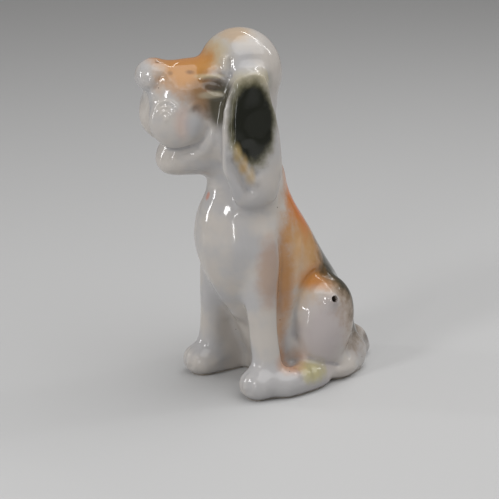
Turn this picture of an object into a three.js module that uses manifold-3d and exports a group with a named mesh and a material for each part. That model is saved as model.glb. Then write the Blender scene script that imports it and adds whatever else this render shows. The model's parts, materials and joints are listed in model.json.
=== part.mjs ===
// A sitting ceramic dog, built as its maker builds it: hollow castings for the trunk and the head,
// with a solid jaw, ears, forelegs, hind feet and tail luted on with slip, and a disc in the base.
// Millimetres, +Z up. The dog faces -Y and its left side is +X.
import * as THREE from "three";
import { mergeVertices } from "three/addons/utils/BufferGeometryUtils.js";
import Module from "manifold-3d";

const wasm = await Module();
wasm.setup();

// Driving dimensions.
const height = 79; // table to crown
const wall = 2.4; // cast wall of the hollow trunk and head
const luteGap = 0.3; // slip joint between two pieces
const headTurn = 20; // degrees, the head looks to the dog's right
const neckJoint = 49; // height of the ring where the head sits on the trunk
const ventRadius = 0.75; // air hole through the left haunch
const airHoleRadius = 1.5; // pierced through the neck ring before the head was joined
const pourHoleRadius = 6; // slip was poured out here
const plugThickness = 2; // the disc that closes the pour hole
const plugRecess = 0.4; // keeps the disc off the table
const skull = { width: 8.8, length: 9.1, height: 9.5 }; // half sizes

const X_AXIS = new THREE.Vector3(1, 0, 0);
const Y_AXIS = new THREE.Vector3(0, 1, 0);
const SIDES = [["left", 1], ["right", -1]];
const capRings = 3; // rings that round off each end of a form
const big = 200; // larger than the dog

// Glazes: a plain colour for each piece.
const glaze = (colour, roughness = 0.12) =>
  new THREE.MeshStandardMaterial({ color: colour, roughness, metalness: 0 });
const whiteGlaze = glaze(0xcfc9c1);
const patchedGlaze = glaze(0x3a372f);
const amberGlaze = glaze(0xc4935f);
const bareClay = glaze(0xdad2c2, 0.8);

// A closed soft form: elliptical rings along a smooth spine, rounded off at both ends.
// A station is [x, y, z, half width across, half depth], and "ends" says how far each end bulges.
function formGeometry(stations, { ends = [1, 1], grow = 0, rings = 10, sides = 20 } = {}) {
  const spine = new THREE.CatmullRomCurve3(stations.map(([x, y, z]) => new THREE.Vector3(x, y, z)));
  const halves = new THREE.CatmullRomCurve3(stations.map(([, , , a, b]) => new THREE.Vector3(a, b, 0)));
  const bulge = (half, end) => ends[end] * (Math.min(half.x, half.y) + grow);
  const points = [];
  const addRing = (t, scale, shift) => {
    const along = spine.getTangent(t);
    const half = halves.getPoint(t);
    const across = X_AXIS.clone().addScaledVector(along, -along.x).normalize();
    const depth = new THREE.Vector3().crossVectors(along, across);
    const centre = spine.getPoint(t).addScaledVector(along, shift * bulge(half, Math.round(t)));
    for (let i = 0; i < sides; i++) {
      const angle = (2 * Math.PI * i) / sides;
      const point = centre.clone();
      point.addScaledVector(across, (half.x + grow) * scale * Math.cos(angle));
      points.push(point.addScaledVector(depth, (half.y + grow) * scale * Math.sin(angle)));
    }
  };
  for (let i = capRings - 1; i > 0; i--) {
    const angle = (Math.PI / 2) * (i / capRings);
    addRing(0, Math.cos(angle), -Math.sin(angle));
  }
  for (let i = 0; i <= rings; i++) addRing(i / rings, 1, 0);
  for (let i = 1; i < capRings; i++) {
    const angle = (Math.PI / 2) * (i / capRings);
    addRing(1, Math.cos(angle), Math.sin(angle));
  }
  const ringCount = points.length / sides;
  const [first, last] = [points.length, points.length + 1];
  for (const [t, sign] of [[0, -1], [1, 1]]) {
    points.push(spine.getPoint(t).addScaledVector(spine.getTangent(t), sign * bulge(halves.getPoint(t), t)));
  }
  const index = [];
  for (let j = 0; j < sides; j++) {
    const k = (j + 1) % sides;
    const top = (ringCount - 1) * sides;
    index.push(first, k, j, last, top + j, top + k);
    for (let i = 0; i < ringCount - 1; i++) {
      const here = i * sides;
      const next = here + sides;
      index.push(here + j, here + k, next + k, here + j, next + k, next + j);
    }
  }
  return new THREE.BufferGeometry().setFromPoints(points).setIndex(index);
}

// A geometry as a solid that can be joined and cut.
function solid(geometry) {
  const plain = geometry.clone();
  plain.deleteAttribute("normal");
  plain.deleteAttribute("uv");
  const merged = mergeVertices(plain, 1e-4);
  const vertProperties = new Float32Array(merged.attributes.position.array);
  const triVerts = new Uint32Array(merged.index.array);
  return new wasm.Manifold(new wasm.Mesh({ numProp: 3, vertProperties, triVerts }));
}

const form = (stations, options) => solid(formGeometry(stations, options));

// An ellipsoid with these half sizes, tipped about the X axis.
function ball([x, y, z], [a, b, c], { grow = 0, tip = 0, detail = 16 } = {}) {
  const geometry = new THREE.SphereGeometry(1, detail, Math.round(detail * 0.65));
  return solid(geometry.scale(a + grow, b + grow, c + grow).rotateX(tip).translate(x, y, z));
}

// A cylinder from one point to another.
function rod(from, to, radius, sides = 16) {
  const start = new THREE.Vector3(...from);
  const span = new THREE.Vector3(...to).sub(start);
  const geometry = new THREE.CylinderGeometry(radius, radius, span.length(), sides);
  geometry.translate(0, span.length() / 2, 0);
  geometry.applyQuaternion(new THREE.Quaternion().setFromUnitVectors(Y_AXIS, span.normalize()));
  return solid(geometry.translate(start.x, start.y, start.z));
}

const join = (first, ...others) => others.reduce((sum, next) => sum.add(next), first);
const cut = (first, ...others) => others.reduce((rest, next) => rest.subtract(next), first);
const above = (z) => solid(new THREE.BoxGeometry(big, big, big).translate(0, 0, z + big / 2));
const below = (z) => solid(new THREE.BoxGeometry(big, big, big).translate(0, 0, z - big / 2));
const onTable = (piece) => piece.subtract(below(0));

// Trunk: back and belly, chest, haunches and the stump of the neck.
const backForm = [
  [0, 6.5, -3, 11, 13],
  [0, 6.2, 6, 12, 13.2],
  [0, 3, 14, 12, 13],
  [0, -1.4, 22, 11.4, 12.2],
  [0, -5.2, 30, 10.6, 11.4],
  [0, -8, 37, 10, 10],
  [0, -9.5, 44, 8.8, 8.6],
  [0, -10, 52, 8.2, 8],
];
const chestForm = [
  [0, -11.5, 46, 5.5, 5.5],
  [0, -12.2, 40, 8.8, 8],
  [0, -12.4, 34, 10.2, 8.8],
  [0, -11.4, 27, 8.8, 8],
  [0, -9.6, 18, 4.4, 4.6],
];
const haunch = { centre: [9.3, 3.8, 12.8], half: [6.3, 8, 11.4], tip: -0.26 };
const trunk = (grow = 0, rings = 16, sides = 28) =>
  join(
    form(backForm, { grow, ends: [0.2, 0.6], rings, sides }),
    form(chestForm, { grow, rings: Math.round(rings / 2), sides }),
    ...SIDES.map(([, s]) => {
      const [x, y, z] = haunch.centre;
      return ball([s * x, y, z], haunch.half, { grow, tip: haunch.tip, detail: 20 });
    }),
  );

// Head, in its own frame: the origin is the middle of the skull and the nose points to -Y.
const skullCentre = [-0.5, -11.1, height - skull.height];
const placeHead = (piece) => piece.rotate([0, 0, -headTurn]).translate(skullCentre);
const neckForm = [
  [0, 1.6, -25, 7.6, 7.2],
  [0, 0.9, -18, 7.4, 7],
  [0, 0.4, -10, 7.8, 7.4],
  [0, 0.2, -2, 8.2, 8.2],
];
const muzzleForm = [
  [0, -4, -5, 7.8, 8.6],
  [0, -9, -4.8, 7.4, 8.6],
  [0, -14, -5.2, 7, 8.6],
  [0, -17.2, -5.8, 6.2, 7.6],
];
const flew = { centre: [3.7, -14.6, -8.2], half: [5.1, 6.4, 6.8] };
const nose = { centre: [0, -18.7, 0.5], half: [4.2, 3.8, 3.8] };
const head = (grow = 0) =>
  join(
    ball([0, 0, 0], [skull.width, skull.length, skull.height], { grow, detail: 24 }),
    form(neckForm, { grow, rings: 6 }),
    form(muzzleForm, { grow, ends: [0.5, 0.5], rings: 6 }),
    ...SIDES.map(([, s]) => ball([s * flew.centre[0], flew.centre[1], flew.centre[2]], flew.half, { grow })),
    ball(nose.centre, nose.half, { grow, detail: 14 }),
  );
const jawForm = [
  [0, -14.9, -17.4, 4.7, 3.8],
  [0, -10, -17, 5.5, 4.5],
  [0, -3.5, -15.5, 6.2, 5.6],
];
const earForm = (s) => [
  [s * 8.6, 0, 1.2, 2.1, 2.9],
  [s * 9.6, -1.1, -3.4, 2, 5],
  [s * 10.2, -1.2, -10, 1.9, 6.1],
  [s * 10.2, -0.5, -18, 2, 6.7],
  [s * 9.4, 0.6, -25.2, 2.2, 5.1],
];

// Limbs and tail. A web of clay ties each foreleg back to the belly.
const legForm = (s) => [
  [s * 5.6, -9, 38, 4.2, 4.8],
  [s * 7.4, -10.8, 30, 4.1, 4.8],
  [s * 7.6, -11.8, 23, 3.7, 3.9],
  [s * 8.6, -11.6, 14, 3.2, 3.4],
  [s * 9.7, -11.6, 6, 3.2, 3.4],
];
const webForm = (s) => [
  [s * 8, -7.5, -3, 1.8, 5],
  [s * 7.4, -7.5, 10, 1.8, 5],
  [s * 6.6, -7.5, 24, 2, 5],
];
const pawForm = (s) => [
  [s * 9.8, -11.5, 3.6, 4.2, 4.2],
  [s * 10.1, -15, 3.2, 4.4, 3.6],
];
const foreleg = (s, grow = 0) =>
  join(
    form(legForm(s), { grow, rings: 8, sides: 18 }),
    form(pawForm(s), { grow, rings: 3, sides: 18 }),
    form(webForm(s), { grow, rings: 4, sides: 12 }),
  );
const hindFootForm = (s) => [
  [s * 12.9, -9.8, 2.8, 3.2, 3.2],
  [s * 12.9, -5, 2.9, 3.4, 3.4],
  [s * 12.4, 1, 2.4, 3, 2.8],
];
const tailForm = [
  [0, 15.5, 6, 3, 3.4],
  [1, 20, 3, 2.8, 3],
  [3.5, 21.5, 1.8, 2.2, 2.4],
];

// The holes that a kiln-fired hollow casting needs.
const ventHole = rod([17, 2.3, 21], [9, 3.8, 17.6], ventRadius);
const neckHole = rod([0, -9.5, neckJoint - 2 * wall], [0, -9.5, neckJoint + 2 * wall], airHoleRadius);
const pourCentre = [0, 6];
const disc = (z0, z1, radius) => rod([...pourCentre, z0], [...pourCentre, z1], radius, 40);

// Cutting the pieces apart along their slip joints, and hollowing the two castings.
const trunkSpace = cut(trunk(-wall, 10, 16), above(neckJoint - wall), below(wall));
const headSpace = cut(
  placeHead(
    join(
      ball([0, 0, 0], [skull.width, skull.length, skull.height], { grow: -wall, detail: 14 }),
      form(neckForm, { grow: -wall, rings: 4, sides: 14 }),
      form(muzzleForm, { grow: -wall, rings: 4, sides: 14, ends: [0.5, 0.5] }),
    ),
  ),
  below(neckJoint + luteGap + wall),
);
const grownTrunk = cut(trunk(luteGap), above(neckJoint + luteGap));
const grownHead = placeHead(head(luteGap));
const trunkOuter = onTable(cut(trunk(), above(neckJoint)));
const headOuter = cut(placeHead(head()), below(neckJoint + luteGap));

const pourHole = disc(-1, wall + 1, pourHoleRadius);
const jaw = placeHead(form(jawForm, { rings: 6, sides: 18 }));

const pieces = new Map([
  ["torso_shell", [cut(trunkOuter, trunkSpace, ventHole, neckHole, pourHole), whiteGlaze]],
  ["head_shell", [cut(headOuter, headSpace, neckHole), whiteGlaze]],
  ["lower_jaw", [cut(jaw, grownHead, grownTrunk), whiteGlaze]],
]);
for (const [name, s] of SIDES) {
  const ear = placeHead(form(earForm(s), { rings: 8, sides: 18 }));
  const foot = form(hindFootForm(s), { rings: 6, sides: 18 });
  pieces.set(name + "_ear", [cut(ear, grownHead, grownTrunk), patchedGlaze]);
  pieces.set(name + "_foreleg", [onTable(cut(foreleg(s), grownTrunk)), whiteGlaze]);
  pieces.set(name + "_hind_foot", [onTable(cut(foot, grownTrunk, foreleg(s, luteGap))), whiteGlaze]);
}
pieces.set("tail", [onTable(cut(form(tailForm, { rings: 6, sides: 16 }), grownTrunk)), amberGlaze]);
pieces.set("base_plug", [disc(plugRecess, plugRecess + plugThickness, pourHoleRadius - luteGap), bareClay]);

const dog = new THREE.Group();
for (const [name, [piece, material]] of pieces) {
  const { vertProperties, triVerts, numProp } = piece.getMesh();
  const geometry = new THREE.BufferGeometry();
  geometry.setAttribute("position", new THREE.BufferAttribute(vertProperties, numProp));
  geometry.setIndex(new THREE.BufferAttribute(triVerts, 1));
  const mesh = new THREE.Mesh(geometry, material);
  mesh.name = name;
  dog.add(mesh);
}

// The origin is under the middle of the figure, on the table.
const footprint = new THREE.Box3().setFromObject(dog);
const middle = footprint.getCenter(new THREE.Vector3());
dog.position.set(-middle.x, -middle.y, -footprint.min.z);
dog.updateMatrixWorld(true);

export default dog;
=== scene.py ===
import bpy
import bmesh
import json
import math
import numpy as np
from mathutils import Matrix, Vector, noise
from mathutils.bvhtree import BVHTree
from mathutils.kdtree import KDTree


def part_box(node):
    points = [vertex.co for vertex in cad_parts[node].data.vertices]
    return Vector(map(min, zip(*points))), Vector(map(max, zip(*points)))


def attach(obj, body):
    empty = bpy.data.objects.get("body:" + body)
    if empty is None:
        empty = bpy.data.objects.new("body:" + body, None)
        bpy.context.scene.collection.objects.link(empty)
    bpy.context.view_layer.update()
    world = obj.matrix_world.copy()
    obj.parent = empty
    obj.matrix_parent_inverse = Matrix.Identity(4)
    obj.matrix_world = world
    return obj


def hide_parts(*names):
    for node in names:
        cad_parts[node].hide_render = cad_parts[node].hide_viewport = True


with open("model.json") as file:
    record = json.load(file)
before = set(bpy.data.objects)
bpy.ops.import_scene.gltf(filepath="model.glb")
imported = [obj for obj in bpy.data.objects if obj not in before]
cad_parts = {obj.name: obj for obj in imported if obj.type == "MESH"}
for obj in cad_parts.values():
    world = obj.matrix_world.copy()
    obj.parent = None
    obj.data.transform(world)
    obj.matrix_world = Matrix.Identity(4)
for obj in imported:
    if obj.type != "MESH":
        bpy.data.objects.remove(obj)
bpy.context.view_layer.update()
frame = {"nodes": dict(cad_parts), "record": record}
mm = 0.001
scene = bpy.context.scene
nodeNames = sorted(frame["nodes"])
print("frame loaded:", len(nodeNames), "clay pieces")


# Small mesh helpers. Clay is worked in millimetres and turned into metres at the end.
def linkMesh(name, mesh):
    obj = bpy.data.objects.new(name, mesh)
    scene.collection.objects.link(obj)
    return obj


def fromBmesh(name, bm):
    mesh = bpy.data.meshes.new(name)
    bm.to_mesh(mesh)
    bm.free()
    return linkMesh(name, mesh)


def applyModifiers(obj):
    graph = bpy.context.evaluated_depsgraph_get()
    done = bpy.data.meshes.new_from_object(obj.evaluated_get(graph), depsgraph=graph)
    obj.modifiers.clear()
    old = obj.data
    obj.data = done
    bpy.data.meshes.remove(old)
    return obj


def boolean(obj, cutter, operation):
    mod = obj.modifiers.new("cut", "BOOLEAN")
    mod.solver = "MANIFOLD"
    mod.operation = operation
    mod.object = cutter
    return applyModifiers(obj)


def voxelRemesh(obj, size):
    mod = obj.modifiers.new("voxels", "REMESH")
    mod.mode = "VOXEL"
    mod.voxel_size = size
    return applyModifiers(obj)


def subdivide(obj):
    mod = obj.modifiers.new("finer", "SUBSURF")
    mod.levels = 1
    mod.render_levels = 1
    return applyModifiers(obj)


def getPoints(obj):
    points = np.zeros(len(obj.data.vertices) * 3, np.float32)
    obj.data.vertices.foreach_get("co", points)
    return points.reshape(-1, 3).astype(float)


def setPoints(obj, points):
    obj.data.vertices.foreach_set("co", np.asarray(points, np.float32).ravel())
    obj.data.update()


def getEdges(obj):
    edges = np.zeros(len(obj.data.edges) * 2, np.int32)
    obj.data.edges.foreach_get("vertices", edges)
    return edges.reshape(-1, 2)


def getNormals(obj):
    normals = np.zeros(len(obj.data.vertices) * 3, np.float32)
    obj.data.vertex_normals.foreach_get("vector", normals)
    return normals.reshape(-1, 3).astype(float)


def duplicate(obj, name):
    other = obj.copy()
    other.data = obj.data.copy()
    other.name = name
    scene.collection.objects.link(other)
    return other


def remove(*objects):
    for obj in objects:
        bpy.data.objects.remove(obj)


def selectOnly(objects):
    bpy.ops.object.select_all(action="DESELECT")
    for obj in objects:
        obj.select_set(True)
    bpy.context.view_layer.objects.active = objects[0]


def joinAll(objects, name):
    selectOnly(objects)
    bpy.ops.object.join()
    objects[0].name = name
    return objects[0]


def looseParts(obj):
    selectOnly([obj])
    bpy.ops.object.mode_set(mode="EDIT")
    bpy.ops.mesh.select_all(action="SELECT")
    bpy.ops.mesh.separate(type="LOOSE")
    bpy.ops.object.mode_set(mode="OBJECT")
    return sorted(bpy.context.selected_objects, key=lambda part: -len(part.data.vertices))


def lumpOf(centre, half):
    bm = bmesh.new()
    bmesh.ops.create_icosphere(bm, subdivisions=3, radius=1)
    bmesh.ops.scale(bm, vec=half, verts=bm.verts)
    bmesh.ops.translate(bm, vec=Vector(centre), verts=bm.verts)
    return fromBmesh("lump", bm)


def rodOf(start, end, radius, sides=48):
    a = Vector(start)
    b = Vector(end)
    turn = (b - a).to_track_quat("Z", "Y").to_matrix().to_4x4()
    place = Matrix.Translation((a + b) / 2) @ turn
    bm = bmesh.new()
    bmesh.ops.create_cone(bm, cap_ends=True, segments=sides, radius1=radius, radius2=radius,
                          depth=(b - a).length, matrix=place)
    return fromBmesh("rod", bm)


# A damp sponge: every point drifts towards its neighbours.
def sponge(points, edges, times, share=None, strength=0.5):
    count = len(points)
    degree = np.maximum(np.bincount(edges.ravel(), minlength=count), 1)[:, None]
    a = edges[:, 0]
    b = edges[:, 1]
    for _ in range(times):
        sums = [np.bincount(a, points[b, k], count) + np.bincount(b, points[a, k], count) for k in range(3)]
        step = (np.stack(sums, axis=1) / degree - points) * strength
        points = points + (step if share is None else step * share[:, None])
    return points


# What the sponge rubbed off over a wide area is put back, so only the small bumps are lost.
def spongeKeepingSize(points, edges, times, share=None, wide=60):
    smooth = sponge(points, edges, times, share)
    lost = sponge(smooth - points, edges, wide)
    return smooth - lost


def fade(value, low, high):
    t = np.clip((value - low) / (high - low), 0, 1)
    return t * t * (3 - 2 * t)


# Where the head sits, from the frame: it is turned to the dog's right on the neck.
head = {
    "turn": -20,
    "skullBehind": 21.09,   # middle of the skull, from the nose tip of the CAD head
    "skullUnder": 9.5,      # and below the crown
    "skullAside": -0.5,
}
headLow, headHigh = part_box("head_shell")
skullCentre = np.array([head["skullAside"], headLow.y / mm + head["skullBehind"],
                        headHigh.z / mm - head["skullUnder"]])
headTurn = Matrix.Rotation(math.radians(head["turn"]), 3, "Z")
headAxes = np.array(headTurn)


def fromHead(points):
    return np.asarray(points) @ headAxes.T + skullCentre


print("skull centre", skullCentre.round(2))

clay = {
    "swell": 0.22,          # closes the slip gaps between the pieces
    "voxel": 0.55,
    "softenBody": 30,       # passes with the sponge
    "softenHead": 10,
    "soleDepth": 0.3,       # worn flat against the table
    "neckBand": (52, 58),   # heights where the body's sponging gives way to the head's
    "softenTools": 2,       # passes over the tool marks
    "vent": ((17, 6.67, 21), (9, 8.17, 17.6), 0.75),
    "ventCap": (14.6, 7.1, 20.0),
    "ventCapHalf": (1.7, 1.7, 1.7),
    "pourCapTop": 2.4,
    "pourCapRim": 1,
    "neckHole": (0, -5.13, 49),
    "neckHoleRadius": 1.5,
    "neckCapHalf": (2.6, 2.6, 2.6),
}


def cadCopy(name, swell):
    bm = bmesh.new()
    bm.from_mesh(frame["nodes"][name].data)
    bmesh.ops.remove_doubles(bm, verts=bm.verts, dist=1e-6)
    bmesh.ops.scale(bm, vec=(1 / mm,) * 3, verts=bm.verts)
    bm.normal_update()
    moves = [vert.normal * swell for vert in bm.verts]
    for vert, move in zip(bm.verts, moves):
        vert.co += move
    return fromBmesh(name + "Clay", bm)


plugLow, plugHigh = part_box("base_plug")
plugCentre = (plugLow + plugHigh) / 2 / mm
plugRadius = (plugHigh.x - plugLow.x) / 2 / mm


# Slip that fills the joins between the pieces: a middle and half sizes, on both sides of the dog.
headSlip = {
    "bridge": ((0, -15.4, -0.3), (4.5, 6.4, 4.1)),
    "noseSide": ((2.0, -17.2, 0.6), (2.7, 3.6, 3.2)),
    "muzzleSide": ((3.2, -13.6, -5.2), (5.1, 6.6, 7.2)),
    "cheek": ((4.4, -6.6, -9.5), (3.7, 5.6, 8.5)),
    "jowl": ((3.6, -8.2, -14.2), (3.1, 5.0, 3.6)),
    "earRoot": ((7.4, -1.0, -11.5), (3.2, 6.0, 12.5)),
    "eye": ((5.6, -7.4, -1.0), (1.7, 2.9, 2.0)),
    "brow": ((4.6, -7.6, 1.4), (2.2, 2.9, 1.8)),
    "throat": ((0, -5.4, -18.4), (5.4, 4.4, 4.6)),
    "collar": ((0, 0.9, -19.5), (8.7, 8.3, 7.5)),
}
bodySlip = {
    "shoulder": ((7.4, -6.8, 30.0), (4.4, 4.6, 10.0)),
    "hindInstep": ((11.8, 3.4, 3.0), (3.7, 6.5, 3.5)),
    "hock": ((10.5, 12.0, 2.6), (4.6, 6.0, 3.2)),
    "hip": ((8.2, 16.0, 3.6), (4.6, 6.4, 5.6)),
    "tailRoot": ((3.0, 23.6, 3.7), (3.6, 3.7, 4.3)),
}


def bothSides(point):
    x, y, z = point
    return [(x, y, z)] if x == 0 else [(x, y, z), (-x, y, z)]


def pourCap(bottom):
    low = (0, plugCentre.y, bottom)
    return rodOf(low, (0, plugCentre.y, clay["pourCapTop"]), plugRadius + clay["pourCapRim"])


# Every piece is pushed together into one skin, with the holes of the hollows stopped up.
def makeWetClay():
    lumps = [cadCopy(name, clay["swell"]) for name in nodeNames]
    lumps.append(lumpOf(clay["ventCap"], clay["ventCapHalf"]))
    lumps.append(pourCap(0))
    for centre, half in headSlip.values():
        for place in bothSides(centre):
            lump = lumpOf((0, 0, 0), half)
            lump.data.transform(headTurn.to_4x4())
            lump.data.transform(Matrix.Translation(fromHead(place)))
            lumps.append(lump)
    for centre, half in bodySlip.values():
        lumps += [lumpOf(place, half) for place in bothSides(centre)]
    wet = voxelRemesh(joinAll(lumps, "wetClay"), clay["voxel"])
    parts = looseParts(wet)
    remove(*parts[1:])
    return parts[0]


def softenSkin(skin):
    points = getPoints(skin)
    edges = getEdges(skin)
    inHead = fade(points[:, 2], *clay["neckBand"])
    points = spongeKeepingSize(points, edges, clay["softenHead"])
    points = spongeKeepingSize(points, edges, clay["softenBody"] - clay["softenHead"], 1 - inHead)
    setPoints(skin, points)
    setPoints(skin, points - getNormals(skin) * clay["swell"])
    subdivide(skin)
    print("skin:", len(skin.data.vertices), "points")


# A modelling tool drawn along a line on the skin: "height" is what it raises, or cuts if negative.
def drawTool(skin, line, height, width, sharp=2.0):
    points = getPoints(skin)
    normals = getNormals(skin)
    tree = skinTree["tree"]
    path = [Vector(tree.find_nearest(Vector(p))[0]) for p in smoothLine(line)]
    path = np.array(path)
    reach = 3 * width
    near = np.all((points > path.min(0) - reach) & (points < path.max(0) + reach), axis=1)
    picked = np.nonzero(near)[0]
    gaps = np.linalg.norm(points[picked, None, :] - path[None, :, :], axis=2)
    nearest = gaps.argmin(1)
    gap = gaps[np.arange(len(picked)), nearest]
    along = nearest / max(len(path) - 1, 1)
    taper = fade(along, -0.02, 0.2) * fade(1 - along, -0.02, 0.2)
    lift = height * taper * np.exp(-(gap / width) ** sharp)
    points[picked] += normals[picked] * lift[:, None]
    setPoints(skin, points)


# A thumb pressed into the skin, or a pinch of clay added to it.
def pressThumb(skin, centre, half, height):
    points = getPoints(skin)
    normals = getNormals(skin)
    gap = np.linalg.norm((points - np.array(centre)) / np.array(half), axis=1)
    points += normals * (height * np.exp(-gap ** 2 * 1.5))[:, None]
    setPoints(skin, points)


def smoothLine(line, step=0.2):
    line = np.array(line, float)
    padded = np.vstack([2 * line[0] - line[1], line, 2 * line[-1] - line[-2]])
    out = []
    for i in range(1, len(padded) - 2):
        p0, p1, p2, p3 = padded[i - 1:i + 3]
        count = max(int(np.linalg.norm(p2 - p1) / step), 1)
        for t in np.arange(count) / count:
            out.append(0.5 * (2 * p1 + (p2 - p0) * t + (2 * p0 - 5 * p1 + 4 * p2 - p3) * t ** 2
                              + (3 * p1 - p0 - 3 * p2 + p3) * t ** 3))
    out.append(padded[-2])
    return np.array(out)


skinTree = {}


def rebuildTree(skin):
    graph = bpy.context.evaluated_depsgraph_get()
    skinTree["tree"] = BVHTree.FromObject(skin, graph)


# Lines of the face and ears in the head's own frame: points, height, width.
headLines = {
    "noseCrease": ([(4.3, -17.7, 2.0), (4.2, -18.7, 0.2), (3.4, -20.0, -1.8), (0, -21.0, -3.1)], -0.45, 0.75),
    "lipSplit": ([(0, -21, -2.6), (0, -20.8, -7), (0, -19.4, -12.5)], -0.6, 0.8),
    "padGroove": ([(8.3, -15.2, -6.0), (8.5, -15.1, -8.0), (8.3, -14.8, -10.6)], -0.16, 0.6),
    "puffArc": ([(8.1, -13.8, -6.4), (7.9, -13.2, -5.0), (7.3, -11.6, -4.4), (7.1, -10.1, -5.3),
                 (7.0, -9.3, -7.0)], 0.3, 0.55),
    "puffGroove": ([(7.9, -12.7, -6.3), (7.6, -11.6, -5.6), (7.3, -10.6, -6.4)], -0.2, 0.45),
    "lipEdge": ([(0, -19.4, -13.6), (3.2, -17.0, -14.6), (5.1, -13.9, -14.5), (5.5, -11.1, -13.3)],
                -0.6, 0.75),
    "lipCorner": ([(5.3, -12.4, -14.0), (5.8, -9.4, -11.8), (6.5, -8.5, -8.6)], -0.3, 0.8),
    "jowlGroove": ([(4.2, -15.4, -16.2), (4.8, -12.0, -15.2), (4.9, -9.6, -13.2)], -0.2, 0.7),
    "jowlFold": ([(4.0, -14.6, -17.8), (4.8, -11.6, -16.4), (4.9, -8.7, -14.2), (5.6, -7.2, -10.6)],
                 0.22, 1.1),
    "upperLid": ([(5.6, -10.8, -0.5), (5.7, -9.7, 0.5), (6.0, -7.7, 0.7), (6.6, -6.0, 0.0),
                  (7.2, -4.8, -1.3)], 0.5, 0.48),
    "lidGroove": ([(6.1, -9.9, -0.5), (6.2, -8.6, -0.15), (6.5, -7.1, -0.4), (7.0, -5.6, -1.3)], -0.4, 0.42),
    "lowerLid": ([(5.8, -10.8, -0.9), (6.4, -9.8, -2.0), (7.0, -8.1, -3.0), (7.4, -6.3, -3.5),
                  (7.8, -4.9, -3.7)], 0.42, 0.5),
    "lowerGroove": ([(6.4, -9.5, -1.4), (6.9, -7.9, -2.2), (7.2, -6.3, -2.6)], -0.34, 0.42),
    "templeFold": ([(5.6, -4.9, 5.2), (6.2, -5.0, 3.2), (6.9, -5.1, 1.2)], 0.4, 0.85),
    "templeCrease": ([(6.3, -3.9, 5.0), (7.0, -4.2, 2.6), (7.6, -4.3, 0.0)], -0.35, 0.6),
    "earTopRim": ([(8.8, -4.4, -1.6), (9.6, -3.6, 0.0), (10.2, -1.7, 1.2), (10.2, 0.4, 1.2),
                   (10.2, 2.4, -0.3), (10.3, 4.0, -3.6)], 0.4, 0.7),
    "earFrontRim": ([(9.8, -5.5, -2.5), (10.3, -6.3, -6.3), (10.8, -6.7, -12), (10.6, -6.6, -17.4),
                     (10.8, -5.0, -21.4)], 0.55, 0.6),
    "earFrontGroove": ([(10.4, -4.0, -0.8), (10.7, -4.8, -3.4), (11.2, -5.3, -8.6), (11.3, -5.4, -13.4)],
                       -0.75, 0.5),
    "earRearRim": ([(10.4, 4.2, -4.6), (10.8, 4.9, -10), (10.8, 5.4, -17), (10.2, 5.4, -22)], 0.35, 0.7),
    "earFold": ([(11.6, -4.9, -12.4), (11.9, -3.4, -15.6), (12, -2, -18.2), (11.6, 0.3, -22.4)], 0.8, 0.85),
    "earFoldValley": ([(11.2, -5.6, -14.6), (11.4, -4.4, -17.6), (11.4, -3.0, -20.2),
                       (10.8, -0.6, -24.4)], -0.85, 1.1),
    "earInnerValley": ([(11.9, -2.6, -12.0), (12.2, -0.9, -16.0), (12.1, 1.0, -20.4)], -0.35, 1.5),
}
headPresses = {
    "noseBall": ((2.4, -20.6, -0.2), (3.2, 2.8, 3.0), 0.5),
    "padDot": ((7.5, -18.2, -7.1), (0.9, 0.9, 0.9), 0.35),
    "earRootTop": ((9.2, 0.0, 3.8), (2.8, 4.6, 2.6), -0.6),
    "upperLip": ((3.4, -20.2, -2.6), (1.6, 1.6, 1.4), 0.3),
    "eyeball": ((6.6, -7.7, -1.2), (1.3, 1.6, 0.8), 0.2),
    "underBrow": ((5.2, -11.2, 1.6), (1.5, 1.6, 1.4), -0.2),
    "earDish": ((11.8, -0.4, -5.6), (2.6, 3.4, 6.6), -0.95),
    "earLobe": ((11.0, 2.4, -23.0), (2.6, 3.4, 3.6), 0.35),
}
whiskerPad = {"centre": (7.5, -18.2, -7.1), "radii": (1.5, 2.5, 3.7), "height": 0.3, "width": 0.36}
bodyLines = {
    "elbowValley": ([(10.0, -4.4, 38), (10.2, -3.9, 31), (10.0, -3.4, 23), (10.6, -4.0, 14),
                     (11.0, -4.2, 8)], -0.8, 1.3),
    "flankEdge": ([(10.0, 2.0, 34.5), (10.6, 0.2, 28), (10.8, -0.4, 22)], 0.3, 0.9),
    "haunchFront": ([(12.6, 0.4, 7.4), (10.8, -0.8, 11.5), (10.8, 0.0, 17.5), (11.2, 2.0, 23.0),
                     (11.2, 5.0, 25.2), (11.4, 8.4, 25.2), (12.8, 11.4, 22.6)], -0.7, 1.1),
    "haunchRim": ([(12.2, 1.4, 12.5), (12.6, 2.2, 17.0), (12.9, 4.2, 21.4), (13.2, 6.8, 22.6),
                   (13.9, 9.2, 21.2)], 0.35, 1.2),
    "haunchFoot": ([(12.2, 0.4, 7.6), (14.2, 2.8, 6.6), (14.8, 6.6, 5.2), (13.8, 11.2, 3.6)], -0.55, 0.8),
    "pawToeInner": ([(8.9, -13.9, 1.4), (8.9, -13.4, 4.0), (9.1, -11.4, 6.2)], -0.22, 0.55),
    "pawToeOuter": ([(11.2, -13.9, 1.4), (11.3, -13.2, 4.0), (11.2, -11.2, 6.2)], -0.22, 0.55),
    "hindToeOne": ([(12.2, -1.6, 6.4), (14.8, -2.0, 5.4), (16.0, -2.4, 3.0)], -0.3, 0.8),
    "hindToeTwo": ([(12.6, 1.3, 6.4), (14.9, 1.2, 5.2), (16.0, 1.0, 2.8)], -0.3, 0.8),
    "chestKeel": ([(0, -16.6, 38), (0, -16.3, 31), (0, -13.4, 23), (0, -9.0, 17)], 0.35, 1.6),
}


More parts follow.
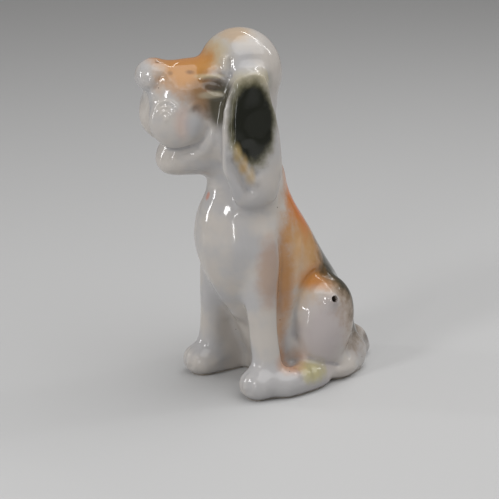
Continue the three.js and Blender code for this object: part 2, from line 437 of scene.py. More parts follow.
def sculptSkin(skin):
    rebuildTree(skin)
    for centre, half, height in headPresses.values():
        for place in bothSides(centre):
            pressThumb(skin, fromHead(place), half, height)
    for line, height, width in headLines.values():
        drawTool(skin, fromHead(line), height, width)
        if abs(line[0][0]) + abs(line[-1][0]) > 0:
            drawTool(skin, fromHead([(-x, y, z) for x, y, z in line]), height, width)
    for side in (1, -1):
        x, y, z = whiskerPad["centre"]
        for radius in whiskerPad["radii"]:
            arc = []
            for degrees in range(10, 171, 16):
                angle = math.radians(degrees)
                back = radius * math.cos(angle)
                arc.append((side * (x + 0.6 * back), y + 0.8 * back, z + radius * math.sin(angle)))
            drawTool(skin, fromHead(arc), whiskerPad["height"], whiskerPad["width"])
    for line, height, width in bodyLines.values():
        drawTool(skin, line, height, width)
        if line[0][0] > 0:
            drawTool(skin, [(-x, y, z) for x, y, z in line], height, width)
    points = sponge(getPoints(skin), getEdges(skin), clay["softenTools"])
    setPoints(skin, points)
    print("skin sculpted")


skin = makeWetClay()
skin.name = "skin"
softenSkin(skin)
sculptSkin(skin)


# Hand-made unevenness, then the lie of the glaze: it gathers where the skin is hollow, and the same measure
# later darkens the hollows as painted crease shade.
hand = {"waves": ((8.0, 0.09), (3.5, 0.035)), "poolAndShadeReach": 14, "poolAndShadeFull": 0.12}


def addHandWork(skin):
    points = getPoints(skin)
    for length, depth in hand["waves"]:
        wave = np.array([noise.noise(Vector(point / length)) for point in points])
        points += getNormals(skin) * (depth * wave)[:, None]
    points[points[:, 2] < clay["soleDepth"], 2] = 0
    setPoints(skin, points)


# How hollow each point lies; it drives both the pooled glaze tint and the painted crease shade.
def measurePoolingAndShade(skin):
    points = getPoints(skin)
    wide = sponge(points, getEdges(skin), hand["poolAndShadeReach"])
    return np.clip(((wide - points) * getNormals(skin)).sum(1) / hand["poolAndShadeFull"], -1, 1)


addHandWork(skin)
for face in skin.data.polygons:
    face.use_smooth = True
poolingAndCreaseShade = measurePoolingAndShade(skin)
skinPoints = getPoints(skin)
skinNormals = getNormals(skin)
rebuildTree(skin)
skinKey = KDTree(len(skinPoints))
for index, point in enumerate(skinPoints):
    skinKey.insert(point, index)
skinKey.balance()
print("glaze lies", round(float(poolingAndCreaseShade.min()), 2), "to", round(float(poolingAndCreaseShade.max()), 2))


# The finished skin is cut where the pieces were luted together, so the glaze runs on across each seam.
cutting = {
    "order": ("lower_jaw", "left_ear", "right_ear", "left_foreleg", "right_foreleg",
              "left_hind_foot", "right_hind_foot", "tail"),
    "reach": 1.15,          # how far outside its CAD piece a cut is made
    "neckJoint": 49.15,
    "cutterSponge": 6,
    "cavityVoxel": 0.7,
    "cavitySponge": 8,
    "pourCapLift": 0.2,
    "neckRodReach": 5,
    "discGap": 0.3,         # slip joint round the disc
    "discSides": 96,
}


def makeCutter(name):
    cutter = voxelRemesh(cadCopy(name, cutting["reach"]), clay["voxel"])
    setPoints(cutter, sponge(getPoints(cutter), getEdges(cutter), cutting["cutterSponge"]))
    for other in ("torso_shell", "head_shell"):
        neighbour = cadCopy(other, 0.0)
        boolean(cutter, neighbour, "DIFFERENCE")
        remove(neighbour)
    return cutter


def makeCavity(name):
    shell = cadCopy(name, 0.0)
    caps = []
    if name == "torso_shell":
        caps.append(lumpOf(clay["ventCap"], clay["ventCapHalf"]))
        caps.append(pourCap(cutting["pourCapLift"]))
    caps.append(lumpOf(clay["neckHole"], clay["neckCapHalf"]))
    for cap in caps:
        boolean(shell, cap, "UNION")
    remove(*caps)
    parts = looseParts(shell)
    print("shell of", name, [len(part.data.vertices) for part in parts])
    extents = [np.ptp(getPoints(part), axis=0).max() for part in parts]
    cavity = parts[int(np.argsort(extents)[-2])]
    for part in parts:
        if part != cavity:
            remove(part)
    bm = bmesh.new()
    bm.from_mesh(cavity.data)
    bmesh.ops.reverse_faces(bm, faces=bm.faces)
    bm.to_mesh(cavity.data)
    bm.free()
    voxelRemesh(cavity, cutting["cavityVoxel"])
    setPoints(cavity, sponge(getPoints(cavity), getEdges(cavity), cutting["cavitySponge"]))
    return cavity


def halfSpace(z, above):
    reach = 60
    bm = bmesh.new()
    bmesh.ops.create_cube(bm, size=2 * reach)
    bmesh.ops.translate(bm, vec=(0, 0, z + (reach if above else -reach)), verts=bm.verts)
    return fromBmesh("half", bm)


def dropCrumbs(piece):
    parts = looseParts(piece)
    if len(parts) > 1:
        print("crumbs swept off", piece.name, [len(part.data.vertices) for part in parts[1:]])
        remove(*parts[1:])
    return parts[0]


def cutSkin(skin):
    pieces = {}
    rest = duplicate(skin, "rest")
    for name in cutting["order"]:
        cutter = makeCutter(name)
        pieces[name] = boolean(duplicate(rest, name + "Piece"), cutter, "INTERSECT")
        boolean(rest, cutter, "DIFFERENCE")
        remove(cutter)
    for name, isAbove in (("head_shell", True), ("torso_shell", False)):
        half = halfSpace(cutting["neckJoint"], isAbove)
        piece = boolean(duplicate(rest, name + "Piece"), half, "INTERSECT")
        x, y, z = clay["neckHole"]
        reach = cutting["neckRodReach"]
        cutters = [makeCavity(name)]
        cutters.append(rodOf((x, y, z - reach), (x, y, z + reach), clay["neckHoleRadius"]))
        if not isAbove:
            cutters.append(rodOf(*clay["vent"]))
            cutters.append(rodOf((0, plugCentre.y, -1), (0, plugCentre.y, 4),
                                 plugRadius + cutting["discGap"], cutting["discSides"]))
        for cutter in cutters:
            boolean(piece, cutter, "DIFFERENCE")
        remove(half, *cutters)
        pieces[name] = piece
    remove(rest)
    return {name: dropCrumbs(piece) for name, piece in pieces.items()}


# Each piece takes its shading and its pooled glaze with painted crease shade from the uncut skin, and its cut
# faces keep their own.
dressing = {"onPoint": 1e-4, "onSkin": 1e-3, "facing": 0.2}


def dressPiece(piece):
    mesh = piece.data
    points = getPoints(piece)
    isOuter = np.zeros(len(points), bool)
    normals = np.zeros((len(points), 3))
    pooledAndCreaseShade = np.zeros(len(points))
    for i, point in enumerate(points):
        _, key, gap = skinKey.find(point)
        if gap > dressing["onPoint"]:
            gap = skinTree["tree"].find_nearest(point)[3]
        isOuter[i] = gap < dressing["onSkin"]
        normals[i] = skinNormals[key]
        pooledAndCreaseShade[i] = poolingAndCreaseShade[key]
    loopVert = np.zeros(len(mesh.loops), np.int32)
    loopEdge = np.zeros(len(mesh.loops), np.int32)
    mesh.loops.foreach_get("vertex_index", loopVert)
    mesh.loops.foreach_get("edge_index", loopEdge)
    starts = np.zeros(len(mesh.polygons), np.int32)
    totals = np.zeros(len(mesh.polygons), np.int32)
    faceNormals = np.zeros(len(mesh.polygons) * 3, np.float32)
    mesh.polygons.foreach_get("loop_start", starts)
    mesh.polygons.foreach_get("loop_total", totals)
    mesh.polygons.foreach_get("normal", faceNormals)
    faceNormals = faceNormals.reshape(-1, 3)
    loopFace = np.repeat(np.arange(len(starts)), totals)
    outerFace = np.minimum.reduceat(isOuter[loopVert], starts)
    facing = (faceNormals * normals[loopVert[starts]]).sum(1) > dressing["facing"]
    outerFace = outerFace & facing
    shares = np.bincount(loopEdge, outerFace[loopFace].astype(float), len(mesh.edges))
    counts = np.bincount(loopEdge, minlength=len(mesh.edges))
    rim = (shares > 0) & (shares < counts)
    mesh.polygons.foreach_set("use_smooth", np.ones(len(starts), bool))
    mesh.edges.foreach_set("use_edge_sharp", rim)
    mesh.update()
    corners = np.zeros(len(mesh.loops) * 3, np.float32)
    mesh.corner_normals.foreach_get("vector", corners)
    corners = corners.reshape(-1, 3)
    outerLoop = outerFace[loopFace]
    corners[outerLoop] = normals[loopVert[outerLoop]]
    setPoints(piece, points * mm)
    mesh.normals_split_custom_set(corners.tolist())
    for label, values in (("poolingAndCreaseShade", np.where(isOuter, pooledAndCreaseShade, 0)), ("glazed", isOuter)):
        attribute = mesh.attributes.new(label, "FLOAT", "POINT")
        attribute.data.foreach_set("value", values.astype(np.float32))
    mesh.update()


# The disc that closes the pour hole: turned edges, a slight dish and the marks of the thumb that set it.
plug = {"bevel": 0.35, "dish": 0.18, "rings": 14, "sides": 96, "thumbs": 3, "thumbDepth": 0.08, "face": 0.3}


def makePlug():
    low = plugLow.z / mm
    high = plugHigh.z / mm
    bevel = plug["bevel"]
    radii = np.linspace(0, plugRadius - bevel, plug["rings"])
    profile = [(r, low + plug["dish"] * (1 - (r / radii[-1]) ** 2)) for r in radii]
    profile += [(plugRadius, low + bevel), (plugRadius, high - bevel), (radii[-1], high), (0, high)]
    bm = bmesh.new()
    rows = []
    for r, z in profile:
        if r == 0:
            rows.append([bm.verts.new((0, plugCentre.y, z))])
            continue
        row = []
        for i in range(plug["sides"]):
            angle = 2 * math.pi * i / plug["sides"]
            thumb = plug["thumbDepth"] * math.sin(plug["thumbs"] * angle) * (r / plugRadius)
            press = thumb if z < low + plug["face"] else 0
            row.append(bm.verts.new((r * math.cos(angle), plugCentre.y + r * math.sin(angle),
                                     max(z + press, low))))
        rows.append(row)
    for first, second in zip(rows, rows[1:]):
        for i in range(plug["sides"]):
            j = (i + 1) % plug["sides"]
            ring = [first[i % len(first)], first[j % len(first)],
                    second[j % len(second)], second[i % len(second)]]
            bm.faces.new(list(dict.fromkeys(ring)))
    bmesh.ops.recalc_face_normals(bm, faces=bm.faces)
    for face in bm.faces:
        face.smooth = True
    bmesh.ops.scale(bm, vec=(mm,) * 3, verts=bm.verts)
    return fromBmesh("baseDisc", bm)


pieces = cutSkin(skin)
for name, piece in pieces.items():
    dressPiece(piece)
    print("piece", name, len(piece.data.polygons), "faces")
pieces["base_plug"] = makePlug()
remove(skin)


# Node helpers. A wire is a socket to link, anything else is a value to set.
def wireUp(tree, node, wires):
    for key, value in wires.items():
        if isinstance(value, bpy.types.NodeSocket):
            tree.links.new(value, node.inputs[key])
        else:
            node.inputs[key].default_value = value
    return node


def addNode(tree, kind, wires, **settings):
    node = tree.nodes.new("ShaderNode" + kind)
    for key, value in settings.items():
        setattr(node, key, value)
    return wireUp(tree, node, wires)


def calc(tree, operation, first, second=0.0):
    return addNode(tree, "Math", {0: first, 1: second}, operation=operation).outputs[0]


def moveVector(tree, operation, first, second):
    return addNode(tree, "VectorMath", {0: first, 1: second}, operation=operation).outputs[0]


def blendColour(tree, share, first, second):
    wires = {0: share, 6: first, 7: second}
    return addNode(tree, "Mix", wires, data_type="RGBA").outputs[2]


def softStep(tree, value, low, high, fromZero=True):
    wires = {"Value": value, "From Min": low, "From Max": high,
             "To Min": 0.0 if fromZero else 1.0, "To Max": 1.0 if fromZero else 0.0}
    return addNode(tree, "MapRange", wires, interpolation_type="SMOOTHSTEP").outputs[0]


def grain(tree, place, scale, detail=2.0, rough=0.5):
    wires = {"Vector": place, "Scale": scale, "Detail": detail, "Roughness": rough}
    return addNode(tree, "TexNoise", wires).outputs[0]


def newGroup(name, inputs, outputs):
    tree = bpy.data.node_groups.new(name, "ShaderNodeTree")
    for label, kind, value in inputs:
        socket = tree.interface.new_socket(label, in_out="INPUT", socket_type="NodeSocket" + kind)
        socket.default_value = value
    for label, kind in outputs:
        tree.interface.new_socket(label, in_out="OUTPUT", socket_type="NodeSocket" + kind)
    return tree, tree.nodes.new("NodeGroupInput"), tree.nodes.new("NodeGroupOutput")


def useGroup(tree, group, wires):
    node = tree.nodes.new("ShaderNodeGroup")
    node.node_tree = group
    return wireUp(tree, node, wires)


origin = (0.0, 0.0, 0.0)


# One puff of the airbrush: an oval with a soft uneven edge.
def buildAirbrush():
    inputs = [("Place", "Vector", origin), ("Middle", "Vector", origin), ("Half", "Vector", (1, 1, 1)),
              ("Edge", "Float", 0.4), ("Waver", "Float", 0.4)]
    tree, start, end = newGroup("airbrushPuff", inputs, [("Mask", "Float")])
    place = start.outputs["Place"]
    away = moveVector(tree, "SUBTRACT", place, start.outputs["Middle"])
    away = moveVector(tree, "DIVIDE", away, start.outputs["Half"])
    gap = addNode(tree, "VectorMath", {0: away}, operation="LENGTH").outputs["Value"]
    uneven = calc(tree, "SUBTRACT", grain(tree, place, 0.32, 3.0, 0.6), 0.5)
    gap = calc(tree, "ADD", gap, calc(tree, "MULTIPLY", uneven, start.outputs["Waver"]))
    inner = calc(tree, "SUBTRACT", 1.0, start.outputs["Edge"])
    outer = calc(tree, "ADD", 1.0, start.outputs["Edge"])
    tree.links.new(softStep(tree, gap, inner, outer, fromZero=False), end.inputs["Mask"])
    return tree


# The melted surface: slow ripples, a fine orange peel and a few pinholes where gas came out.
melt = {
    "peel": 0.03,
    "pinholeDepth": 0.5,
    "rarePinholes": 0.8,
    "gloss": 0.065,         # roughness of the smoothest glaze
    "dulling": 0.07,
    "pinholeDull": 0.3,
}


def buildGlazeFinish():
    inputs = [("Place", "Vector", origin), ("Ripple", "Float", 1.0), ("Pinholes", "Float", 1.0)]
    outputs = [("Height", "Float"), ("Roughness", "Float"), ("Pinhole", "Float")]
    tree, start, end = newGroup("glazeFinish", inputs, outputs)
    place = start.outputs["Place"]
    slow = calc(tree, "MULTIPLY", grain(tree, place, 0.22, 1.0), start.outputs["Ripple"])
    peel = calc(tree, "MULTIPLY", grain(tree, place, 1.6, 2.0), melt["peel"])
    cells = addNode(tree, "TexVoronoi", {"Vector": place, "Scale": 0.42}, feature="F1")
    chosen = addNode(tree, "SeparateColor", {"Color": cells.outputs["Color"]}).outputs[0]
    hole = softStep(tree, cells.outputs["Distance"], 0.03, 0.09, fromZero=False)
    hole = calc(tree, "MULTIPLY", hole, calc(tree, "GREATER_THAN", chosen, melt["rarePinholes"]))
    hole = calc(tree, "MULTIPLY", hole, start.outputs["Pinholes"])
    height = calc(tree, "ADD", slow, peel)
    height = calc(tree, "SUBTRACT", height, calc(tree, "MULTIPLY", hole, melt["pinholeDepth"]))
    dull = calc(tree, "MULTIPLY", grain(tree, place, 0.5, 3.0, 0.6), melt["dulling"])
    dull = calc(tree, "ADD", dull, melt["gloss"])
    dull = calc(tree, "ADD", dull, calc(tree, "MULTIPLY", hole, melt["pinholeDull"]))
    tree.links.new(height, end.inputs["Height"])
    tree.links.new(dull, end.inputs["Roughness"])
    tree.links.new(hole, end.inputs["Pinhole"])
    return tree


# White clay seen through clear glaze: warm and cool clouds, darker blue-grey in the hollows as pooled glaze
# with painted crease shade, iron specks.
porcelain = {
    "warm": (0.475, 0.44, 0.405, 1), "cool": (0.405, 0.395, 0.395, 1), "pooledAndCreaseShade": (0.28, 0.275, 0.28, 1),
    "thin": (0.54, 0.50, 0.46, 1), "speck": (0.12, 0.07, 0.04, 1), "pinhole": (0.10, 0.09, 0.08, 1),
    "poolAndShadeShare": 0.75, "thinShare": 0.4, "rareSpecks": 0.9,
}
bareClay = {
    "pale": (0.58, 0.50, 0.40, 1), "dark": (0.50, 0.43, 0.34, 1), "stain": (0.42, 0.31, 0.22, 1),
    "grainScale": 3.5, "stainShare": 0.6, "glazedEdgeRoughness": 0.85, "roughness": 0.75, "relief": 0.08,
}


def buildPorcelain():
    inputs = [("Place", "Vector", origin), ("PoolingAndCreaseShade", "Float", 0.0), ("Specks", "Float", 1.0)]
    tree, start, end = newGroup("porcelainBody", inputs, [("Colour", "Color")])
    place = start.outputs["Place"]
    cloud = softStep(tree, grain(tree, place, 0.1, 3.0, 0.55), 0.38, 0.62)
    colour = blendColour(tree, cloud, porcelain["warm"], porcelain["cool"])
    # Darker and greyer in the hollows: pooled glaze tint together with painted crease shade.
    pooledAndCreaseShade = softStep(tree, start.outputs["PoolingAndCreaseShade"], 0.15, 1.0)
    colour = blendColour(tree, calc(tree, "MULTIPLY", pooledAndCreaseShade, porcelain["poolAndShadeShare"]),
    colour, porcelain["pooledAndCreaseShade"])
    thin = softStep(tree, start.outputs["PoolingAndCreaseShade"], -1.0, -0.25, fromZero=False)
    colour = blendColour(tree, calc(tree, "MULTIPLY", thin, porcelain["thinShare"]),
    colour, porcelain["thin"])
    cells = addNode(tree, "TexVoronoi", {"Vector": place, "Scale": 0.33}, feature="F1")
    chosen = addNode(tree, "SeparateColor", {"Color": cells.outputs["Color"]}).outputs[1]
    speck = softStep(tree, cells.outputs["Distance"], 0.02, 0.075, fromZero=False)
    speck = calc(tree, "MULTIPLY", speck, calc(tree, "GREATER_THAN", chosen, porcelain["rareSpecks"]))
    speck = calc(tree, "MULTIPLY", speck, start.outputs["Specks"])
    tree.links.new(blendColour(tree, speck, colour, porcelain["speck"]), end.inputs["Colour"])
    return tree


# What the decorator sprayed, in order, with some painted shade and a painted highlight among it. Frame,
# middle, half sizes, edge, waver, colour, strength.
# "head" is the head's own frame and "dog" the dog's, and with "Sides" both sides are alike.
bodySprays = {
    # haunchPaintedShade: lilac-grey painted shade laid over the lower haunch.
    "haunchPaintedShade": ("dogSides", (15, 4, 12), (4, 7, 9), 0.6, 0.5, (0.385, 0.335, 0.35), 0.55),
    "shoulderRose": ("dogSides", (11.4, -7.4, 28), (3.2, 3.4, 7.5), 0.5, 0.8, (0.34, 0.20, 0.125), 0.6),
    "backAmber": ("dog", (0, 5, 35), (12.6, 9.4, 15), 0.3, 0.7, (0.44, 0.19, 0.028), 0.92),
    "flankAmber": ("dogSides", (9.5, 2.4, 29), (4.0, 5.0, 9.5), 0.45, 0.8, (0.50, 0.31, 0.15), 0.7),
    "elbowAmber": ("dogSides", (10.6, -3.2, 22), (2.0, 2.2, 17), 0.5, 0.7, (0.42, 0.18, 0.03), 0.8),
    "haunchRing": ("dogSides", (11.5, 6.6, 24.6), (4.0, 5.8, 2.6), 0.5, 0.5, (0.46, 0.165, 0.02), 0.85),
    "footRose": ("dogSides", (12.8, -2.6, 7.4), (3.0, 3.6, 2.6), 0.6, 0.8, (0.45, 0.20, 0.075), 0.75),
    "footGreen": ("dogSides", (14.6, 1.4, 4.6), (3.2, 3.4, 2.2), 0.5, 0.9, (0.38, 0.34, 0.11), 0.65),
    "spineRust": ("dog", (0, 4.0, 41), (9.6, 6.4, 9.5), 0.45, 0.6, (0.54, 0.135, 0.008), 1.0),
    "rumpFringe": ("dog", (0, 15.8, 21.5), (17, 11.6, 18.5), 0.3, 0.6, (0.30, 0.16, 0.05), 0.8),
    "rumpBlack": ("dog", (0, 16.8, 21), (16, 11, 17.5), 0.22, 0.5, (0.022, 0.024, 0.014), 0.95),
    "tailSpot": ("dog", (5.2, 26.0, 4.6), (2.0, 1.8, 1.2), 0.7, 1.6, (0.05, 0.025, 0.01), 0.7),
    "neckMark": ("dog", (-2.2, -14.2, 43.4), (0.7, 0.9, 0.8), 0.6, 3.0, (0.52, 0.15, 0.08), 0.6),
    "foreheadCream": ("headSides", (2.6, -7.2, 5.0), (4.8, 4.0, 3.8), 0.6, 0.6, (0.40, 0.31, 0.165), 0.7),
    "crownAmber": ("head", (2.2, -1.5, 9.0), (4.4, 3.4, 1.8), 0.5, 1.1, (0.42, 0.26, 0.11), 0.55),
    "muzzleAmber": ("head", (1.0, -12.2, 1.2), (7.4, 6.6, 7.6), 0.35, 0.6, (0.42, 0.185, 0.028), 0.9),
    "muzzleRust": ("head", (0.4, -13.2, 4.2), (4.4, 6.2, 1.8), 0.5, 0.7, (0.40, 0.17, 0.05), 0.75),
    "eyeBrown": ("headSides", (6.8, -8.6, -3.4), (3.0, 4.2, 4.4), 0.45, 0.6, (0.17, 0.10, 0.05), 0.65),
    "cheekBrown": ("headSides", (6.6, -10.8, -3.8), (3.2, 3.6, 3.0), 0.6, 0.7, (0.24, 0.135, 0.06), 0.6),
    "eyeOlive": ("headSides", (7.2, -6.0, -5.0), (2.8, 3.0, 5.2), 0.4, 0.5, (0.05, 0.048, 0.03), 0.9),
    # lidCreamAndHighlight: cream paint on the upper lid that also stands in for a painted highlight along the
    # lid ridge.
    "lidCreamAndHighlight": ("headSides", (5.8, -8.2, 0.8), (1.6, 2.7, 0.5), 0.6, 0.4, (0.44, 0.38, 0.25), 0.75),
    "eyeDark": ("headSides", (6.6, -7.8, -1.1), (1.4, 2.2, 0.9), 0.4, 0.4, (0.07, 0.05, 0.032), 0.8),
    "underLid": ("headSides", (6.9, -8.4, -2.9), (1.4, 2.6, 0.7), 0.5, 0.4, (0.40, 0.35, 0.25), 0.65),
    # napeGreenAndPaintedShade: a greenish tint behind the ear together with painted shade along the ear's
    # rear edge.
    "napeGreenAndPaintedShade": ("headSides", (9.2, 4.6, -3.5), (1.8, 1.5, 6.5), 0.5, 0.6, (0.16, 0.165, 0.11), 0.55),
    "padRose": ("headSides", (8.5, -15, -8.5), (1.4, 1.5, 3.2), 0.8, 0.8, (0.54, 0.33, 0.25), 0.35),
    "puffBlue": ("headSides", (8.4, -12.2, -8.8), (2.0, 2.0, 2.8), 0.6, 0.4, (0.36, 0.38, 0.42), 0.5),
    "speckOne": ("head", (1.9, -18.2, 3.7), (0.6, 0.5, 0.5), 0.6, 1.6, (0.12, 0.055, 0.02), 0.6),
    "speckTwo": ("head", (3.9, -16.2, 1.4), (0.6, 0.6, 0.5), 0.6, 1.6, (0.12, 0.06, 0.02), 0.6),
    "speckThree": ("head", (4.6, -12.0, 1.7), (0.7, 0.8, 0.5), 0.6, 1.6, (0.09, 0.04, 0.02), 0.6),
}
earSprays = {
    "rimCream": ("headSides", (10, 0.2, 0.4), (4.5, 5.0, 1.7), 0.6, 0.6, (0.44, 0.38, 0.22), 0.55),
    "earOlive": ("headSides", (11.4, -0.8, -8.2), (3.8, 5.2, 9.6), 0.25, 0.5, (0.12, 0.11, 0.045), 0.9),
    "earBlack": ("headSides", (11.6, -0.6, -8.2), (3.6, 4.5, 8.2), 0.18, 0.35, (0.010, 0.011, 0.007), 1.0),
    "foldAmber": ("headSides", (11.7, -4.2, -15.0), (1.5, 0.8, 1.9), 0.7, 0.6, (0.38, 0.26, 0.085), 0.7),
    "foldAmberMid": ("headSides", (11.9, -2.9, -17.4), (1.5, 0.8, 1.9), 0.7, 0.6, (0.42, 0.26, 0.08), 0.75),
    "foldAmberLow": ("headSides", (11.9, -1.4, -19.8), (1.5, 0.9, 1.8), 0.7, 0.6, (0.44, 0.30, 0.12), 0.65),
    # earTipPaintedShadow: grey painted shadow on the bottom of the ear where it hangs over the shoulder.
    "earTipPaintedShadow": ("headSides", (11.5, -0.6, -24), (2.6, 3.6, 3.4), 0.6, 0.4, (0.36, 0.355, 0.365), 0.5),
}


def foldSides(tree, place):
    split = addNode(tree, "SeparateXYZ", {0: place}).outputs
    wires = {0: calc(tree, "ABSOLUTE", split[0]), 1: split[1], 2: split[2]}
    return addNode(tree, "CombineXYZ", wires).outputs[0]


def buildPainting(name, sprays, airbrush):
    inputs = [("Place", "Vector", origin), ("Ground", "Color", (0.6, 0.6, 0.6, 1)), ("Depth", "Float", 1.0)]
    tree, start, end = newGroup(name, inputs, [("Colour", "Color")])
    place = start.outputs["Place"]
    offHead = moveVector(tree, "SUBTRACT", place, tuple(skullCentre))
    wires = {"Vector": offHead, "Angle": math.radians(-head["turn"])}
    inHead = addNode(tree, "VectorRotate", wires, rotation_type="Z_AXIS").outputs[0]
    frames = {"dog": place, "head": inHead, "dogSides": foldSides(tree, place),
              "headSides": foldSides(tree, inHead)}
    colour = start.outputs["Ground"]
    for label, (where, middle, half, edge, waver, tint, strength) in sprays.items():
        wires = {"Place": frames[where], "Middle": middle, "Half": half, "Edge": edge, "Waver": waver}
        puff = useGroup(tree, airbrush, wires)
        puff.label = label
        share = calc(tree, "MULTIPLY", puff.outputs["Mask"], strength)
        share = calc(tree, "MULTIPLY", share, start.outputs["Depth"])
        colour = blendColour(tree, share, colour, (*tint, 1))
    tree.links.new(colour, end.inputs["Colour"])
    return tree


# Where the glaze was wiped off: the sole that stood on the kiln shelf, and the insides.
def buildWipedSole():
    inputs = [("Place", "Vector", origin), ("Glazed", "Float", 1.0)]
    tree, start, end = newGroup("wipedSole", inputs, [("Bare", "Float")])
    split = addNode(tree, "SeparateXYZ", {0: start.outputs["Place"]}).outputs
    uneven = calc(tree, "MULTIPLY", grain(tree, start.outputs["Place"], 0.6, 2.0), 0.4)
    low = softStep(tree, calc(tree, "SUBTRACT", split[2], uneven), -0.1, 0.12, fromZero=False)
    inside = calc(tree, "LESS_THAN", start.outputs["Glazed"], 0.5)
    tree.links.new(calc(tree, "MAXIMUM", low, inside), end.inputs["Bare"])
    return tree


airbrush = buildAirbrush()
groups = {
    "finish": buildGlazeFinish(),
    "porcelain": buildPorcelain(),
    "body": buildPainting("bodySprays", bodySprays, airbrush),
    "ear": buildPainting("earSprays", earSprays, airbrush),
    "sole": buildWipedSole(),
}


def placeInMillimetres(tree):
    corner = addNode(tree, "TexCoord", {}).outputs["Object"]
    return addNode(tree, "VectorMath", {0: corner, "Scale": 1 / mm}, operation="SCALE").outputs[0]


def glazeMaterial(name, finish):
    material = bpy.data.materials.new(name)
    material.use_nodes = True
    tree = material.node_tree
    shader = tree.nodes["Principled BSDF"]
    place = placeInMillimetres(tree)
    poolingAndCreaseShade = addNode(tree, "Attribute", {}, attribute_name="poolingAndCreaseShade").outputs["Fac"]
    glazed = addNode(tree, "Attribute", {}, attribute_name="glazed").outputs["Fac"]
    wires = {"Place": place, "PoolingAndCreaseShade": poolingAndCreaseShade, "Specks": finish["specks"]}
    ground = useGroup(tree, groups["porcelain"], wires)
    wires = {"Place": place, "Ground": ground.outputs["Colour"], "Depth": finish["depth"]}
    colour = useGroup(tree, groups["body"], wires).outputs["Colour"]
    if finish["earPatch"]:
        wires = {"Place": place, "Ground": colour, "Depth": finish["depth"]}
        colour = useGroup(tree, groups["ear"], wires).outputs["Colour"]
    wires = {"Place": place, "Ripple": finish["ripple"], "Pinholes": finish["pinholes"]}
    surface = useGroup(tree, groups["finish"], wires)
    bare = useGroup(tree, groups["sole"], {"Place": place, "Glazed": glazed}).outputs["Bare"]
    clayGrain = grain(tree, place, bareClay["grainScale"], 4.0, 0.7)
    clayTint = blendColour(tree, clayGrain, bareClay["dark"], bareClay["pale"])
    colour = blendColour(tree, surface.outputs["Pinhole"], colour, porcelain["pinhole"])
    colour = blendColour(tree, bare, colour, clayTint)
    wires = {0: bare, 2: surface.outputs["Roughness"], 3: bareClay["glazedEdgeRoughness"]}
    rough = addNode(tree, "Mix", wires).outputs[0]
    height = addNode(tree, "Mix", {0: bare, 2: surface.outputs["Height"], 3: clayGrain}).outputs[0]
    bump = addNode(tree, "Bump", {"Height": height, "Strength": 0.35, "Distance": finish["relief"] * mm})
    tree.links.new(colour, shader.inputs["Base Color"])
    tree.links.new(rough, shader.inputs["Roughness"])
    tree.links.new(bump.outputs[0], shader.inputs["Normal"])
    shader.inputs["IOR"].default_value = 1.5
    return material


def bareClayMaterial():
    material = bpy.data.materials.new("bareClay")
    material.use_nodes = True
    tree = material.node_tree
    shader = tree.nodes["Principled BSDF"]
    place = placeInMillimetres(tree)
    fine = grain(tree, place, bareClay["grainScale"], 4.0, 0.7)
    cloud = softStep(tree, grain(tree, place, 0.35, 3.0), 0.35, 0.7)
    stain = calc(tree, "MULTIPLY", cloud, bareClay["stainShare"])
    colour = blendColour(tree, fine, bareClay["dark"], bareClay["pale"])
    colour = blendColour(tree, stain, colour, bareClay["stain"])
    rough = calc(tree, "ADD", calc(tree, "MULTIPLY", fine, 0.15), bareClay["roughness"])
    height = calc(tree, "ADD", fine, stain)
    bump = addNode(tree, "Bump", {"Height": height, "Strength": 0.5, "Distance": bareClay["relief"] * mm})
    tree.links.new(colour, shader.inputs["Base Color"])
    tree.links.new(rough, shader.inputs["Roughness"])
    tree.links.new(bump.outputs[0], shader.inputs["Normal"])
    return material


whiteGlaze = {"specks": 1.0, "depth": 1.0, "ripple": 1.0, "pinholes": 1.0, "relief": 0.12, "earPatch": False}
patchedGlaze = {"specks": 0.5, "depth": 1.0, "ripple": 1.0, "pinholes": 0.6, "relief": 0.12, "earPatch": True}
amberGlaze = {"specks": 0.8, "depth": 1.0, "ripple": 1.0, "pinholes": 1.0, "relief": 0.12, "earPatch": False}
materials = {
    "white_glaze": glazeMaterial("whiteGlaze", whiteGlaze),
    "patched_glaze": glazeMaterial("patchedGlaze", patchedGlaze),
    "amber_glaze": glazeMaterial("amberGlaze", amberGlaze),
    "bare_clay": bareClayMaterial(),
}
slots = {part["node"]: part["material_slot"] for part in frame["record"]["subparts"]}
for name, piece in pieces.items():
    piece.data.materials.clear()
    piece.data.materials.append(materials[slots[name]])
    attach(piece, "root")
    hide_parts(name)
print("glazed and fired:", len(pieces), "pieces")


view = {
    "azimuth": 51,
    "elevation": 17,
    "distance": 400 * mm,
    "lens": 132.7,
    "target": (0, -4.43 * mm, 30 * mm),
}


def setCamera():
    azimuth = math.radians(view["azimuth"])
    elevation = math.radians(view["elevation"])
    back = Vector((math.sin(azimuth) * math.cos(elevation),
                   -math.cos(azimuth) * math.cos(elevation), math.sin(elevation)))
    data = bpy.data.cameras.new("camera")
    data.lens = view["lens"]
    data.sensor_width = 36
    data.clip_start = 0.01
    data.clip_end = 20
    camera = bpy.data.objects.new("camera", data)
    camera.rotation_mode = "QUATERNION"
    camera.location = Vector(view["target"]) + back * view["distance"]
    camera.rotation_quaternion = (-back).to_track_quat("-Z", "Y")
    scene.collection.objects.link(camera)
    scene.camera = camera


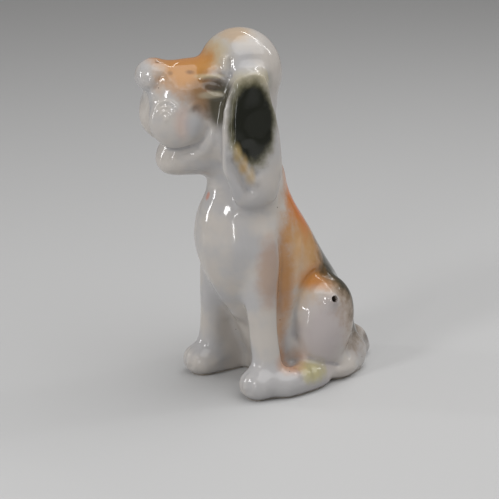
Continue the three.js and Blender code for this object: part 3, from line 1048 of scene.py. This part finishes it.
# The studio, in metres. A lamp is a rectangle unless it says otherwise.
lamps = {
    "panel": {"at": (0.14, 0.06, 0.41), "size": (0.62, 0.54), "power": 1.5, "shape": "ELLIPSE"},
    "window": {"at": (0.04, -0.36, 0.26), "size": (0.06, 0.10), "power": 0.45},
    "frontStrip": {"at": (0.22, -0.38, 0.10), "size": (0.02, 0.18), "power": 0.25},
    "side": {"at": (-0.34, -0.30, 0.12), "size": (0.04, 0.16), "power": 0.35},
    "rear": {"at": (0.12, 0.37, 0.29), "size": (0.04, 0.14), "power": 0.14},
    "topStrip": {"at": (-0.06, 0.24, 0.42), "size": (0.36, 0.015), "power": 0.2},
}
room = {
    "aim": (0, -0.004, 0.038),          # what the lamps point at
    "colour": (0.78, 0.77, 0.76, 1),
    "strength": 0.36,
    "floorReach": 12.0,
    "floorColour": (0.5, 0.5, 0.5, 1),
    "floorRoughness": 0.7,
}


def setLights():
    aim = Vector(room["aim"])
    for name, lamp in lamps.items():
        data = bpy.data.lights.new(name, "AREA")
        data.shape = lamp.get("shape", "RECTANGLE")
        data.size, data.size_y = lamp["size"]
        data.energy = lamp["power"]
        obj = bpy.data.objects.new(name, data)
        obj.rotation_mode = "QUATERNION"
        obj.location = lamp["at"]
        obj.rotation_quaternion = (aim - Vector(lamp["at"])).to_track_quat("-Z", "Y")
        scene.collection.objects.link(obj)
    world = bpy.data.worlds.new("world")
    scene.world = world
    world.use_nodes = True
    background = world.node_tree.nodes["Background"]
    background.inputs["Color"].default_value = room["colour"]
    background.inputs["Strength"].default_value = room["strength"]


def layFloor():
    reach = room["floorReach"]
    mesh = bpy.data.meshes.new("floor")
    corners = [(-reach, -reach, 0), (reach, -reach, 0), (reach, reach, 0), (-reach, reach, 0)]
    mesh.from_pydata(corners, [], [(0, 1, 2, 3)])
    floor = linkMesh("floor", mesh)
    material = bpy.data.materials.new("paleFloor")
    material.use_nodes = True
    shader = material.node_tree.nodes["Principled BSDF"]
    shader.inputs["Base Color"].default_value = room["floorColour"]
    shader.inputs["Roughness"].default_value = room["floorRoughness"]
    floor.data.materials.append(material)


setCamera()
setLights()
layFloor()
scene.view_settings.view_transform = "Standard"
print("camera, lamps and floor are in place")
